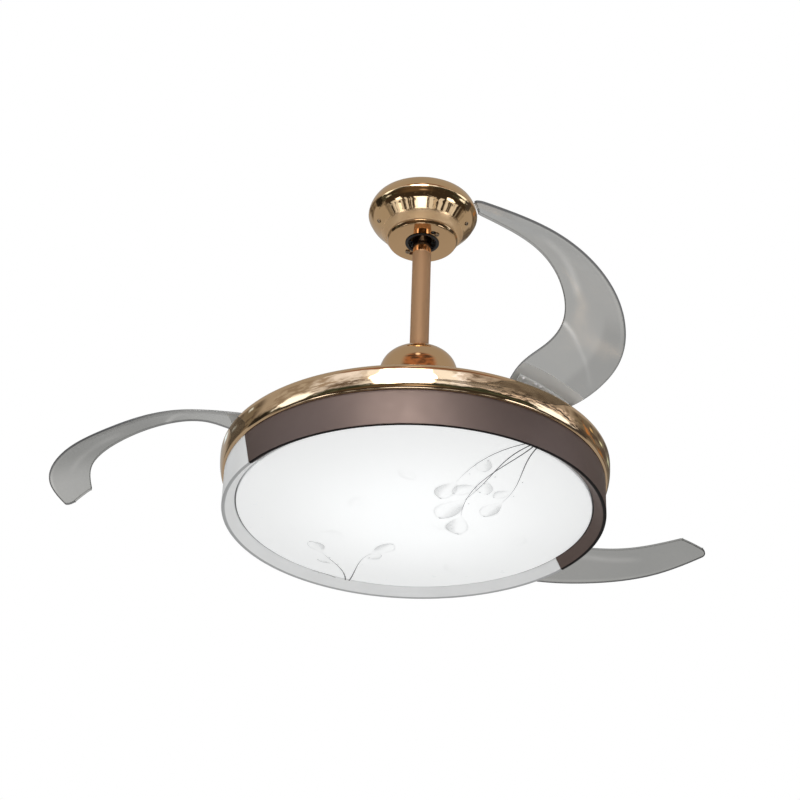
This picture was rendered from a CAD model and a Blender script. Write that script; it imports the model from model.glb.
from math import acos, asin, atan2, cos, pi, radians, sin, sqrt, tan

import bmesh
import bpy
import numpy as np
from mathutils import Matrix, Vector


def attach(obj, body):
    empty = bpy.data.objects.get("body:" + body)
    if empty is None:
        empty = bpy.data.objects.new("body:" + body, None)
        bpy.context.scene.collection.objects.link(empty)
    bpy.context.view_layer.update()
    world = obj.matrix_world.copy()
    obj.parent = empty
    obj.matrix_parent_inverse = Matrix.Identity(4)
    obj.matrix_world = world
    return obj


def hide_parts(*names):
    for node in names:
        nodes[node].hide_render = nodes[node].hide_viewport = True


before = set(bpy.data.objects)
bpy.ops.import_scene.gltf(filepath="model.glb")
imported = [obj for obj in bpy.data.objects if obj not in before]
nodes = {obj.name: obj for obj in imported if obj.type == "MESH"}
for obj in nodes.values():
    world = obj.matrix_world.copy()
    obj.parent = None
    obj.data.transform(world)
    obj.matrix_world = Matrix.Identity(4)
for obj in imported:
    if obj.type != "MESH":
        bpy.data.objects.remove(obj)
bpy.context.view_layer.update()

# ================================================================ sizes shared with the CAD (metres)
DROP = 0.505            # ceiling to the lip of the lamp ring; heights h below are above that lip
GAP = 0.0003
ROD_R, ROD_WALL = 0.0131, 0.0015
BALL_R, BALL_H = 0.0210, 0.4750
SHAFT_R = 0.0090
PIVOT_R, PIVOT_AZ = 0.1890, 194.0
GEAR_M, RING_TEETH, BLADE_TEETH = 0.0045, 66, 18
BLADE_T = 0.0030
BLADE_OUTER = [(-.196, -.0900, .0965), (-.222, -.0978, .0942), (-.309, -.097, .096), (-.400, -.050, .094),
               (-.465, .019, .098), (-.505, .123, .106), (-.495, .224, .117)]
BLADE_INNER = [(-.196, -.0140, .1075), (-.224, -.0090, .1150), (-.276, -.017, .127), (-.336, -.005, .128),
               (-.397, .040, .127), (-.446, .113, .128), (-.458, .193, .132)]
BLADE_LEN = 0.456
TIP_CORNER = 0.012
WIRE_HOLE_R, WIRE_HOLE_Y = 0.0100, -0.0290
CAP_SCREW_R, CAP_SCREW_AZ, KEYHOLE_TURN = 0.0300, -47.5, -12.0
SEAM_AZ, SEAM_LEAN = -145.5, -4.0
PIVOTS = [(PIVOT_R * cos(radians(PIVOT_AZ - 120 * k)), PIVOT_R * sin(radians(PIVOT_AZ - 120 * k))) for k in range(3)]


def z_of(h):
    return h - DROP


# ================================================================ materials
def srgb(r, g, b):
    return tuple((c / 255 / 12.92) if c / 255 <= 0.04045 else ((c / 255 + 0.055) / 1.055) ** 2.4 for c in (r, g, b))


class Mat:
    """A Principled material and the few node calls that the finishes below are made of."""

    def __init__(self, name, rgb, rough, metal=0.0):
        self.m = bpy.data.materials.new(name)
        self.m.use_nodes = True
        self.nt = self.m.node_tree
        self.b = self.nt.nodes["Principled BSDF"]
        self.rgb = rgb
        self.set("Base Color", (*rgb, 1))
        self.set("Roughness", rough)
        self.set("Metallic", metal)
        self.m.diffuse_color = (*rgb, 1)

    def set(self, name, value):
        s = self.b.inputs[name]
        if isinstance(value, bpy.types.NodeSocket):
            self.nt.links.new(value, s)
        else:
            s.default_value = value

    def node(self, kind, **props):
        n = self.nt.nodes.new(kind)
        for k, v in props.items():
            setattr(n, k, v)
        return n

    def link(self, a, b):
        self.nt.links.new(a, b)

    def coords(self, scale=(1, 1, 1)):
        t = self.node("ShaderNodeTexCoord")
        if scale == (1, 1, 1):
            return t.outputs["Object"]
        mp = self.node("ShaderNodeMapping")
        mp.inputs["Scale"].default_value = scale
        self.link(t.outputs["Object"], mp.inputs["Vector"])
        return mp.outputs["Vector"]

    def noise(self, scale, detail=3.0, rough=0.5, stretch=(1, 1, 1), distortion=0.0):
        n = self.node("ShaderNodeTexNoise")
        n.inputs["Scale"].default_value = scale
        n.inputs["Detail"].default_value = detail
        n.inputs["Roughness"].default_value = rough
        n.inputs["Distortion"].default_value = distortion
        self.link(self.coords(stretch), n.inputs["Vector"])
        return n.outputs["Fac"]

    def remap(self, fac, lo, hi, a=0.0, b=1.0, smooth=False):
        n = self.node("ShaderNodeMapRange")
        n.interpolation_type = 'SMOOTHSTEP' if smooth else 'LINEAR'
        n.inputs["From Min"].default_value = lo
        n.inputs["From Max"].default_value = hi
        n.inputs["To Min"].default_value = a
        n.inputs["To Max"].default_value = b
        self.link(fac, n.inputs["Value"])
        return n.outputs["Result"]

    def mix(self, fac, a, b):
        n = self.node("ShaderNodeMix", data_type='RGBA')
        for key, v in ((0, fac), (6, a), (7, b)):
            if isinstance(v, bpy.types.NodeSocket):
                self.link(v, n.inputs[key])
            elif key == 0:
                n.inputs[0].default_value = v
            else:
                n.inputs[key].default_value = (*v, 1)
        return n.outputs[2]

    def scale(self, colour, k):
        n = self.node("ShaderNodeVectorMath", operation='SCALE')
        self.link(colour, n.inputs[0])
        n.inputs["Scale"].default_value = k
        return n.outputs[0]

    def math(self, op, a, b=0.0):
        n = self.node("ShaderNodeMath", operation=op)
        for i, v in enumerate((a, b)):
            if isinstance(v, bpy.types.NodeSocket):
                self.link(v, n.inputs[i])
            else:
                n.inputs[i].default_value = v
        return n.outputs[0]

    def bump(self, height, distance, strength=1.0, after=None):
        n = self.node("ShaderNodeBump")
        n.inputs["Distance"].default_value = distance
        n.inputs["Strength"].default_value = strength
        self.link(height, n.inputs["Height"])
        if after is not None:
            self.link(after, n.inputs["Normal"])
        return n.outputs["Normal"]

    def tone(self, amount, scale, detail=3.0, stretch=(1, 1, 1)):
        """The base colour, varied a little from place to place."""
        lo = tuple(max(c * (1 - amount), 0) for c in self.rgb)
        hi = tuple(min(c * (1 + amount), 1) for c in self.rgb)
        return self.mix(self.remap(self.noise(scale, detail, stretch=stretch), 0.3, 0.7), lo, hi)


def polished(name, rgb, wave=0.00035):
    m = Mat(name, rgb, 0.05, 1.0)
    m.set("Base Color", m.tone(0.035, 14))
    fine = m.noise(420, 5, 0.6)
    smear = m.noise(22, 4, 0.6)
    m.set("Roughness", m.math('ADD', m.remap(smear, 0.35, 0.75, 0.030, 0.075), m.remap(fine, 0.5, 0.8, 0.0, 0.025)))
    n = m.bump(m.noise(13, 2, 0.4), wave)
    n = m.bump(m.noise(60, 2, 0.4), wave * 0.10, after=n)
    m.set("Normal", n)
    return m.m


def satin_metal(name, rgb, lo, hi, grain=(1, 1, 1), grain_scale=300, metal=1.0, bump=0.00001, tone=0.05):
    m = Mat(name, rgb, (lo + hi) / 2, metal)
    g = m.noise(grain_scale, 5, 0.65, stretch=grain)
    m.set("Base Color", m.tone(tone, 30))
    m.set("Roughness", m.remap(g, 0.3, 0.7, lo, hi))
    m.set("Normal", m.bump(g, bump))
    return m.m


def paint(name, rgb, lo, hi, specular=0.5, coat=0.0, peel=0.00002, metal=0.0, tone=0.03):
    m = Mat(name, rgb, (lo + hi) / 2, metal)
    m.set("Base Color", m.tone(tone, 18))
    m.set("Roughness", m.remap(m.noise(60, 4), 0.3, 0.7, lo, hi))
    m.set("Specular IOR Level", specular)
    m.set("Coat Weight", coat)
    m.set("Coat Roughness", 0.12)
    m.set("Normal", m.bump(m.noise(700, 2, 0.4), peel))
    return m.m


def plastic(name, rgb, lo, hi, grain=0.00001, subsurface=0.0):
    m = Mat(name, rgb, (lo + hi) / 2)
    m.set("Base Color", m.tone(0.05, 40))
    m.set("Roughness", m.remap(m.noise(160, 4), 0.3, 0.7, lo, hi))
    m.set("Normal", m.bump(m.noise(1500, 3), grain))
    if subsurface:
        m.set("Subsurface Weight", subsurface)
        m.set("Subsurface Radius", (0.004, 0.004, 0.003))
        m.set("Subsurface Scale", 1.0)
    return m.m


GOLD = (0.80, 0.555, 0.335)
gold = polished("gold_plate", (0.79, 0.505, 0.272))
gold_rim = polished("gold_plate_rim", GOLD, wave=0.0008)


def canopy_gold():
    """The canopy's plating: mirror on the band, buffed silkier on the flare below."""
    m = Mat("gold_plate_canopy", (0.81, 0.535, 0.290), 0.05, 1.0)
    m.set("Base Color", m.tone(0.03, 16))
    sep = m.node("ShaderNodeSeparateXYZ")
    m.link(m.coords(), sep.inputs[0])
    low = m.remap(sep.outputs[2], z_of(0.4590), z_of(0.4535), 0.0, 1.0, smooth=True)
    smear = m.remap(m.noise(22, 4, 0.6), 0.35, 0.75, 0.03, 0.07)
    m.set("Roughness", m.mix(low, smear, (0.42, 0.42, 0.42)))
    m.set("Metallic", m.remap(low, 0, 1, 1.0, 0.68))
    m.set("Normal", m.bump(m.noise(30, 3, 0.5), 0.00016))
    return m.m


gold_canopy = canopy_gold()


def rose_material():
    """Rose-gold lacquer: silky along the tube, polished at its top end."""
    m = Mat("rose_gold_lacquer", (0.368, 0.206, 0.100), 0.45, 0.25)
    sep = m.node("ShaderNodeSeparateXYZ")
    m.link(m.coords(), sep.inputs[0])
    top = m.remap(sep.outputs[2], z_of(0.4165), z_of(0.4205), 0.0, 1.0, smooth=True)
    foot = m.remap(sep.outputs[2], z_of(0.2700), z_of(0.2650), 0.0, 1.0, smooth=True)
    grain = m.noise(500, 4, 0.6, stretch=(1, 1, 0.04))
    m.set("Base Color", m.mix(top, m.mix(foot, m.tone(0.03, 25, stretch=(1, 1, 0.3)), (0.33, 0.175, 0.085)), (0.86, 0.50, 0.27)))
    m.set("Roughness", m.mix(top, m.mix(grain, (0.54, 0.54, 0.54), (0.62, 0.62, 0.62)), (0.09, 0.09, 0.09)))
    m.set("Metallic", m.remap(top, 0, 1, 0.25, 1.0))
    m.set("Normal", m.bump(grain, 0.000004))
    return m.m


rose = rose_material()


def ring_paint(name, rgb, lo, hi, specular, coat, crevice, lip, metal=0.0):
    """Satin paint of the lamp ring; it darkens in the crevice next to the diffuser."""
    m = Mat(name, rgb, (lo + hi) / 2, metal)
    sep = m.node("ShaderNodeSeparateXYZ")
    m.link(m.coords(), sep.inputs[0])
    r = m.math('SQRT', m.math('ADD', m.math('MULTIPLY', sep.outputs[0], sep.outputs[0]), m.math('MULTIPLY', sep.outputs[1], sep.outputs[1])))
    body = m.mix(m.remap(sep.outputs[2], z_of(0.0004), z_of(0.0012), 1.0, 0.0, smooth=True), m.tone(0.03, 18), lip)
    m.set("Base Color", m.mix(m.remap(r, 0.2332, 0.2342, 1.0, 0.0, smooth=True), body, crevice))
    m.set("Roughness", m.remap(m.noise(60, 4), 0.3, 0.7, lo, hi))
    m.set("Specular IOR Level", specular)
    m.set("Coat Weight", coat)
    m.set("Coat Roughness", 0.30)
    m.set("Normal", m.bump(m.noise(700, 2, 0.4), 0.000015))
    return m.m


taupe = ring_paint("taupe_satin", (0.194, 0.143, 0.126), 0.50, 0.56, 0.25, 0.0, (0.010, 0.009, 0.009), (0.016, 0.013, 0.013), metal=0.80)
white = ring_paint("white_satin", (0.80, 0.805, 0.805), 0.30, 0.40, 0.5, 0.0, (0.16, 0.165, 0.165), (0.40, 0.405, 0.41))
zinc = satin_metal("zinc_plate", (0.66, 0.665, 0.68), 0.22, 0.40, grain_scale=240)
bright_steel = satin_metal("bright_steel", (0.80, 0.80, 0.81), 0.10, 0.20, grain_scale=600, bump=0.000003)
rivet_white = satin_metal("rivet_nylon", (0.94, 0.93, 0.96), 0.10, 0.18, grain_scale=500, bump=0.000004, metal=0.0)
screw_gold = satin_metal("screw_plating", (0.40, 0.31, 0.22), 0.20, 0.32, grain_scale=500, bump=0.000005)
spun = satin_metal("spun_aluminium", (0.80, 0.805, 0.81), 0.28, 0.42, grain_scale=420)
cast = satin_metal("cast_aluminium", (0.55, 0.555, 0.565), 0.42, 0.60, grain_scale=900, bump=0.00006, tone=0.08)
alloy = satin_metal("satin_alloy", (0.76, 0.765, 0.75), 0.45, 0.55, grain_scale=500, metal=0.0, bump=0.00001)
clamp_grey = satin_metal("clamp_zinc", (0.70, 0.71, 0.72), 0.35, 0.50, grain_scale=400, metal=0.25, bump=0.00001)
black_coat = paint("black_powder_coat", (0.020, 0.020, 0.022), 0.42, 0.58, peel=0.00005, tone=0.15)
nylon = plastic("natural_nylon", (0.70, 0.675, 0.60), 0.38, 0.52, subsurface=0.15)
black_plastic = plastic("black_plastic", (0.018, 0.018, 0.020), 0.42, 0.58, grain=0.00002)
rubber = plastic("black_rubber", (0.013, 0.013, 0.014), 0.38, 0.52, grain=0.00002)
copper = satin_metal("enamelled_copper", (0.52, 0.19, 0.065), 0.20, 0.35, grain=(1, 1, 8), grain_scale=160, bump=0.0001)
lamination = satin_metal("stacked_sheets", (0.10, 0.10, 0.105), 0.40, 0.60, grain=(0.05, 0.05, 12), grain_scale=120, bump=0.0001)
ferrite = satin_metal("ferrite", (0.07, 0.07, 0.075), 0.55, 0.75, metal=0.3, grain_scale=700)
board = plastic("board_mask", (0.80, 0.80, 0.77), 0.30, 0.42)


def opal_material():
    m = Mat("opal_acrylic", (0.90, 0.905, 0.905), 0.28)
    m.set("Base Color", m.tone(0.008, 9))
    m.set("Roughness", m.remap(m.noise(90, 4), 0.3, 0.7, 0.26, 0.34))
    m.set("Normal", m.bump(m.noise(6, 1), 0.0006))
    # the lamp behind: brighter in the middle, falling off to the edge
    sep = m.node("ShaderNodeSeparateXYZ")
    m.link(m.coords(), sep.inputs[0])
    r = m.math('SQRT', m.math('ADD', m.math('MULTIPLY', sep.outputs[0], sep.outputs[0]), m.math('MULTIPLY', sep.outputs[1], sep.outputs[1])))
    m.set("Emission Color", (0.96, 0.985, 1.0, 1))
    m.set("Emission Strength", m.remap(r, 0.04, 0.232, 0.33, 0.17, smooth=True))
    return m.m


opal = opal_material()


def ink_material(name, rgb):
    m = Mat(name, rgb, 0.35)
    a = m.node("ShaderNodeAttribute", attribute_name="ink")
    m.set("Base Color", m.tone(0.10, 90))
    m.set("Alpha", m.math('MULTIPLY', a.outputs["Fac"], m.remap(m.noise(140, 3), 0.2, 0.8, 0.85, 1.0)))
    return m.m


stem_ink = ink_material("print_stem", (0.030, 0.030, 0.032))
leaf_ink = ink_material("print_leaf", (0.20, 0.205, 0.20))


def smoke_material():
    """Smoke acrylic: light goes straight through with a tint, the polished skin mirrors; cut edges look darker, and the root is frosted."""
    m = Mat("smoke_acrylic", (0.60, 0.60, 0.60), 0.0)
    edge = m.node("ShaderNodeAttribute", attribute_name="edge").outputs["Fac"]
    glow = m.node("ShaderNodeAttribute", attribute_name="glow").outputs["Fac"]
    tint = m.mix(m.remap(m.noise(7, 3), 0.35, 0.65), (0.342, 0.342, 0.331), (0.362, 0.360, 0.348))
    tint = m.mix(m.math('MULTIPLY', glow, m.remap(m.noise(26, 3), 0.3, 0.7, 0.5, 1.0)), tint, (0.66, 0.65, 0.63))
    tint = m.mix(edge, tint, (0.045, 0.045, 0.048))
    root = m.remap(m.node("ShaderNodeAttribute", attribute_name="root").outputs["Fac"], 0.48, 0.52)
    sep = m.node("ShaderNodeSeparateXYZ")
    m.link(m.coords(), sep.inputs[0])
    dx = m.math('ADD', sep.outputs[0], 0.43)
    far = m.math('SQRT', m.math('ADD', m.math('MULTIPLY', dx, dx), m.math('MULTIPLY', sep.outputs[1], sep.outputs[1])))
    tint = m.mix(m.remap(far, 0.06, 0.17, 1.0, 0.0, smooth=True), tint, m.scale(tint, 0.68))
    tint = m.mix(m.node("ShaderNodeAttribute", attribute_name="shade").outputs["Fac"], m.scale(tint, 0.84), m.scale(tint, 1.24))
    m.set("Base Color", m.mix(root, tint, (0.68, 0.68, 0.665)))
    m.set("IOR", 1.001)
    m.set("Transmission Weight", m.remap(root, 0.0, 1.0, 1.0, 0.0))
    m.set("Coat Weight", 0.32)
    m.set("Coat IOR", 1.49)
    m.set("Coat Roughness", 0.11)
    wavy = m.bump(m.noise(10, 2), 0.0010)
    m.nt.links.new(wavy, m.b.inputs["Coat Normal"])
    return m.m


smoke = smoke_material()


# ================================================================ modelling helpers
def smooth(obj, angle=32):
    obj.data.shade_smooth()
    obj.data.set_sharp_from_angle(angle=radians(angle))
    return obj


def new_object(name, bm, mat=None):
    mesh = bpy.data.meshes.new(name)
    bm.to_mesh(mesh)
    bm.free()
    obj = bpy.data.objects.new(name, mesh)
    bpy.context.scene.collection.objects.link(obj)
    if mat:
        mesh.materials.append(mat)
    return obj


def baked(obj):
    """The object with its modifiers applied and its place in its mesh."""
    bpy.context.view_layer.update()
    mesh = bpy.data.meshes.new_from_object(obj.evaluated_get(bpy.context.evaluated_depsgraph_get()))
    mesh.transform(obj.matrix_world)
    name = obj.name
    mats = list(obj.data.materials)
    old = obj.data
    bpy.data.objects.remove(obj, do_unlink=True)
    mesh.name = name
    if not len(mesh.materials):
        for m in mats:
            mesh.materials.append(m)
    out = bpy.data.objects.new(name, mesh)
    bpy.context.scene.collection.objects.link(out)
    return out


def show(obj, node, body, also=(), angle=32):
    """The object stands for a node of the frame and rides where the node rides."""
    smooth(obj, angle)
    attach(obj, body)
    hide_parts(node, *also)
    return obj


def fillet(profile, r, n=3, closed=False):
    """Round each corner of a profile that isn't on the axis."""
    out = []
    count = len(profile)
    for i, p in enumerate(profile):
        if not closed and i in (0, count - 1) or p[0] < 1e-6:
            out.append(p)
            continue
        a, b = Vector(profile[i - 1]), Vector(profile[(i + 1) % count])
        p = Vector(p)
        da, db = (a - p), (b - p)
        turn = pi - da.angle(db)
        if turn < radians(12):
            out.append(tuple(p))
            continue
        k = min(r, da.length * 0.42, db.length * 0.42)
        s, e = p + da.normalized() * k, p + db.normalized() * k
        for j in range(n + 1):
            t = j / n
            out.append(tuple(s * (1 - t) ** 2 + p * 2 * t * (1 - t) + e * t ** 2))
    return out


def curve_through(points, n=6):
    """A smooth line through the points of a profile, with n steps to each span."""
    p = [Vector(q) for q in points]
    out = []
    for i in range(len(p) - 1):
        p0 = p[i - 1] if i else p[0] * 2 - p[1]
        p1, p2 = p[i], p[i + 1]
        p3 = p[i + 2] if i + 2 < len(p) else p[-1] * 2 - p[-2]
        t0, t1 = 0.0, sqrt((p1 - p0).length)
        t2 = t1 + sqrt((p2 - p1).length)
        t3 = t2 + sqrt((p3 - p2).length)
        for j in range(n):
            t = t1 + (t2 - t1) * j / n
            a1 = p0 * ((t1 - t) / (t1 - t0)) + p1 * ((t - t0) / (t1 - t0))
            a2 = p1 * ((t2 - t) / (t2 - t1)) + p2 * ((t - t1) / (t2 - t1))
            a3 = p2 * ((t3 - t) / (t3 - t2)) + p3 * ((t - t2) / (t3 - t2))
            b1 = a1 * ((t2 - t) / (t2 - t0)) + a2 * ((t - t0) / (t2 - t0))
            b2 = a2 * ((t3 - t) / (t3 - t1)) + a3 * ((t - t1) / (t3 - t1))
            out.append(tuple(b1 * ((t2 - t) / (t2 - t1)) + b2 * ((t - t1) / (t2 - t1))))
    out.append(tuple(p[-1]))
    return out


def shell(outer, wall, round_ends=True):
    """Closed section of a sheet: the outer line, running down the outside, and its inner offset."""
    p = [Vector(q) for q in outer]
    inner = []
    for i, q in enumerate(p):
        a = (q - p[i - 1]).normalized() if i else (p[1] - p[0]).normalized()
        b = (p[i + 1] - q).normalized() if i < len(p) - 1 else a
        if not i:
            a = b
        t = (a + b).normalized()
        scale = 1 / max(t.dot(a), 0.5)
        normal = Vector((t.y, -t.x))      # to the inside, for a line that runs down the outside
        inner.append(tuple(q + normal * wall * scale * 1.0))
    return [tuple(q) for q in p] + inner[::-1]


def revolve(name, profile, steps, mat, closed=True, start=0.0, sweep=360.0, lean=None):
    """Turn a profile of (radius, height) about Z."""
    bm = bmesh.new()
    full = abs(sweep - 360) < 1e-6
    rings = []
    for k in range(steps if full else steps + 1):
        a = radians(start + sweep * k / steps)
        ring = []
        for r, h in profile:
            if r < 1e-7 and rings:
                ring.append(None)
            else:
                b = a + (radians(lean * h / 0.0475) if lean else 0.0)
                ring.append(bm.verts.new((r * cos(b), r * sin(b), z_of(h))))
        if rings:
            ring = [rings[0][i] if v is None else v for i, v in enumerate(ring)]
        rings.append(ring)
    m = len(profile)
    for k in range(len(rings) if full else len(rings) - 1):
        a, b = rings[k], rings[(k + 1) % len(rings)]
        for i in range(m if closed else m - 1):
            j = (i + 1) % m
            quad = []
            for v in (a[i], b[i], b[j], a[j]):
                if v not in quad:
                    quad.append(v)
            if len(quad) > 2:
                try:
                    bm.faces.new(quad)
                except ValueError:
                    pass
    if not full:
        bm.faces.new(rings[0])
        bm.faces.new(rings[-1][::-1])
    bmesh.ops.recalc_face_normals(bm, faces=bm.faces)
    return new_object(name, bm, mat)


def lathe_piece(name, node, body, mat, profile, steps=128, r=0.0003, closed=True):
    prof = fillet(profile, r, closed=closed) if r else profile
    return show(revolve(name, prof, steps, mat, closed=closed), node, body)


def boolean(obj, others, operation='DIFFERENCE'):
    for o in others:
        m = obj.modifiers.new("cut", 'BOOLEAN')
        m.operation, m.object, m.solver = operation, o, 'EXACT'
    out = baked(obj)
    for o in others:
        bpy.data.objects.remove(o, do_unlink=True)
    return out


def rod(name, a, b, r, segs=32, mat=None, r2=None):
    a, b = Vector(a), Vector(b)
    bm = bmesh.new()
    bmesh.ops.create_cone(bm, cap_ends=True, segments=segs, radius1=r, radius2=r if r2 is None else r2, depth=(b - a).length)
    obj = new_object(name, bm, mat)
    obj.rotation_mode = 'QUATERNION'
    obj.rotation_quaternion = (b - a).to_track_quat('Z', 'Y')
    obj.location = (a + b) / 2
    return obj


def block(name, x0, x1, y0, y1, h0, h1, mat=None, bevel=0.0):
    bm = bmesh.new()
    bmesh.ops.create_cube(bm, size=1)
    bmesh.ops.scale(bm, vec=(x1 - x0, y1 - y0, h1 - h0), verts=bm.verts)
    bmesh.ops.translate(bm, vec=((x0 + x1) / 2, (y0 + y1) / 2, z_of((h0 + h1) / 2)), verts=bm.verts)
    if bevel:
        bmesh.ops.bevel(bm, geom=bm.edges[:], offset=bevel, segments=3, profile=0.5, affect='EDGES')
    return new_object(name, bm, mat)


def plate(name, outlines, h0, h1, mat=None, edge=0.0):
    """An extruded plate from outlines in plan, the later ones holes, with its edges broken."""
    curve = bpy.data.curves.new(name, 'CURVE')
    curve.dimensions = '2D'
    curve.fill_mode = 'BOTH'
    curve.extrude = (h1 - h0) / 2 - edge
    curve.bevel_depth = edge
    curve.bevel_resolution = 1
    curve.offset = -edge
    for pts in outlines:
        sp = curve.splines.new('POLY')
        sp.points.add(len(pts) - 1)
        for p, (x, y) in zip(sp.points, pts):
            p.co = (x, y, 0, 1)
        sp.use_cyclic_u = True
    tmp = bpy.data.objects.new(name, curve)
    bpy.context.scene.collection.objects.link(tmp)
    tmp.location.z = z_of((h0 + h1) / 2)
    bpy.context.view_layer.update()
    mesh = bpy.data.meshes.new_from_object(tmp.evaluated_get(bpy.context.evaluated_depsgraph_get()))
    mesh.transform(tmp.matrix_world)
    bm = bmesh.new()
    bm.from_mesh(mesh)
    bmesh.ops.remove_doubles(bm, verts=bm.verts, dist=0.000005)
    bmesh.ops.recalc_face_normals(bm, faces=bm.faces)
    bpy.data.objects.remove(tmp, do_unlink=True)
    return new_object(name, bm, mat)


def circle(r, n, x=0.0, y=0.0, phase=0.0):
    return [(x + r * cos(phase + 2 * pi * k / n), y + r * sin(phase + 2 * pi * k / n)) for k in range(n)]


def merged(name, objs, mat=None):
    """Several bodies as one piece."""
    bm = bmesh.new()
    for o in objs:
        o2 = baked(o)
        bm.from_mesh(o2.data)
        bpy.data.objects.remove(o2, do_unlink=True)
    out = new_object(name, bm, mat)
    return out


def placed(obj, matrix):
    obj.data.transform(matrix)
    return obj


def tube(name, points, r, segs=12, mat=None, taper=None):
    """A round wire along a line of points."""
    pts = [Vector(p) for p in points]
    bm = bmesh.new()
    rings = []
    t0 = (pts[1] - pts[0]).normalized()
    side = t0.orthogonal().normalized()
    for i, p in enumerate(pts):
        t = (pts[min(i + 1, len(pts) - 1)] - pts[max(i - 1, 0)]).normalized()
        side = (side - t * side.dot(t)).normalized()
        up = t.cross(side)
        rr = r * (taper(i / (len(pts) - 1)) if taper else 1.0)
        rings.append([bm.verts.new(p + (side * cos(2 * pi * k / segs) + up * sin(2 * pi * k / segs)) * rr) for k in range(segs)])
    for a, b in zip(rings, rings[1:]):
        for k in range(segs):
            bm.faces.new((a[k], a[(k + 1) % segs], b[(k + 1) % segs], b[k]))
    bm.faces.new(rings[0][::-1])
    bm.faces.new(rings[-1])
    bmesh.ops.recalc_face_normals(bm, faces=bm.faces)
    return new_object(name, bm, mat)


def pan_screw(name, head_r, head_h, shank_r, shank_len, mat, cross=True):
    """A pan head screw with a cross recess, its head's seat at the origin, +Z out."""
    prof = [(0, head_h)]
    for k in range(1, 9):
        a = radians(90 * k / 8)
        prof.append((head_r * sin(a) ** 0.8, head_h * (0.25 + 0.75 * cos(a) ** 0.9) if k < 8 else head_h * 0.22))
    prof += [(head_r * 0.97, 0), (shank_r, 0), (shank_r, -shank_len), (0, -shank_len)]
    obj = revolve(name, [(r, h + DROP) for r, h in prof], 32, mat, closed=False)
    if cross:
        cuts = []
        for k in range(2):
            w, l = head_r * 0.17, head_r * 0.62
            c = block(f"{name}_cross_{k}", -l if k else -w, l if k else w, -w if k else -l, w if k else l,
                      DROP + head_h * 0.45, DROP + head_h * 1.5)
            cuts.append(c)
        obj = boolean(obj, cuts)
    return obj


def frame_matrix(origin, out):
    q = Vector(out).to_track_quat('Z', 'Y')
    return Matrix.Translation(Vector(origin)) @ q.to_matrix().to_4x4()


# ================================================================ ceiling plate and bracket
plate_prof = fillet([(0, 0.5050), (0.0655, 0.5050), (0.0655, 0.4680), (0.0640, 0.4680), (0.0640, 0.5030), (0, 0.5030)], 0.0006)
o = revolve("ceiling_plate_sheet", plate_prof, 128, zinc, closed=False)
cuts = []
for n, side in enumerate((1, -1)):
    a = [(0.008 + 0.0026 * cos(t), side * 0.050 + 0.0026 * sin(t)) for t in [pi * (k / 8 - 0.5) for k in range(9)]]
    b = [(-0.008 - 0.0026 * cos(t), side * 0.050 - 0.0026 * sin(t)) for t in [pi * (k / 8 - 0.5) for k in range(9)]]
    cuts.append(plate(f"slot_{n}", [a + b], 0.500, 0.508))
    cuts.append(rod(f"tap_{n}", (side * 0.0190, 0, z_of(0.500)), (side * 0.0190, 0, z_of(0.508)), 0.0023, 24))
cuts.append(rod("wire_hole", (0, WIRE_HOLE_Y, z_of(0.500)), (0, WIRE_HOLE_Y, z_of(0.508)), WIRE_HOLE_R, 40))
show(boolean(o, cuts), "ceiling_plate", "ceiling")

# ================================================================ canopy
CANOPY = [(0.0690, 0.5036), (0.0712, 0.5022), (0.0733, 0.4992), (0.0749, 0.4960), (0.0761, 0.4930), (0.0770, 0.4900),
          (0.0776, 0.4870), (0.0778, 0.4850), (0.0778, 0.4837), (0.0775, 0.4823), (0.0768, 0.4806), (0.0757, 0.4785), (0.0741, 0.4752), (0.0720, 0.4719),
          (0.0696, 0.4689), (0.0669, 0.4660), (0.0642, 0.4630), (0.0615, 0.4600), (0.0589, 0.4571), (0.0565, 0.4540),
          (0.0546, 0.4510), (0.0530, 0.4480), (0.0516, 0.4457), (0.0506, 0.4450)]
canopy_line = curve_through(CANOPY, 4) + [(0.0275, 0.4450)]
canopy_prof = shell(canopy_line, 0.0010)
o = revolve("canopy_bowl", canopy_prof, 192, gold_canopy)
show(o, "canopy", "ceiling", angle=50)

cap_line = [(0.0500, 0.4442)] + [(0.0502, 0.4438), (0.0502, 0.4435)] + curve_through([(0.0500, 0.4431), (0.0492, 0.4415), (0.0482, 0.4397), (0.0475, 0.4391), (0.0464, 0.4389)], 4) + [(0.0232, 0.4389)]
o = revolve("canopy_cap_disc", shell(cap_line, 0.0011), 160, gold)
cuts = []
for n in range(2):
    a0 = radians(CAP_SCREW_AZ + 180 * n)
    a1 = a0 + radians(KEYHOLE_TURN)
    x, y, hx, hy = CAP_SCREW_R * cos(a0), CAP_SCREW_R * sin(a0), CAP_SCREW_R * cos(a1), CAP_SCREW_R * sin(a1)
    cuts.append(rod(f"keyhole_{n}", (hx, hy, z_of(0.435)), (hx, hy, z_of(0.443)), 0.0040, 40))
    cuts.append(rod(f"keyhole_end_{n}", (x, y, z_of(0.435)), (x, y, z_of(0.443)), 0.0020, 24))
    s = Vector((y - hy, hx - x)).normalized() * 0.0020
    cuts.append(plate(f"keyslot_{n}", [[(hx + s.x, hy + s.y), (hx - s.x, hy - s.y), (x - s.x, y - s.y), (x + s.x, y + s.y)]], 0.435, 0.443))
show(boolean(o, cuts), "canopy_cap", "ceiling", angle=40)

for n in range(2):
    a = radians(CAP_SCREW_AZ + 180 * n)
    s = pan_screw(f"cap_screw_pan_{n + 1}", 0.0036, 0.0021, 0.0016, 0.0130, screw_gold)
    placed(s, frame_matrix((CAP_SCREW_R * cos(a), CAP_SCREW_R * sin(a), z_of(0.4386)), (0, 0, -1)))
    show(s, f"cap_screw_{n + 1}", "ceiling")

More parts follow.
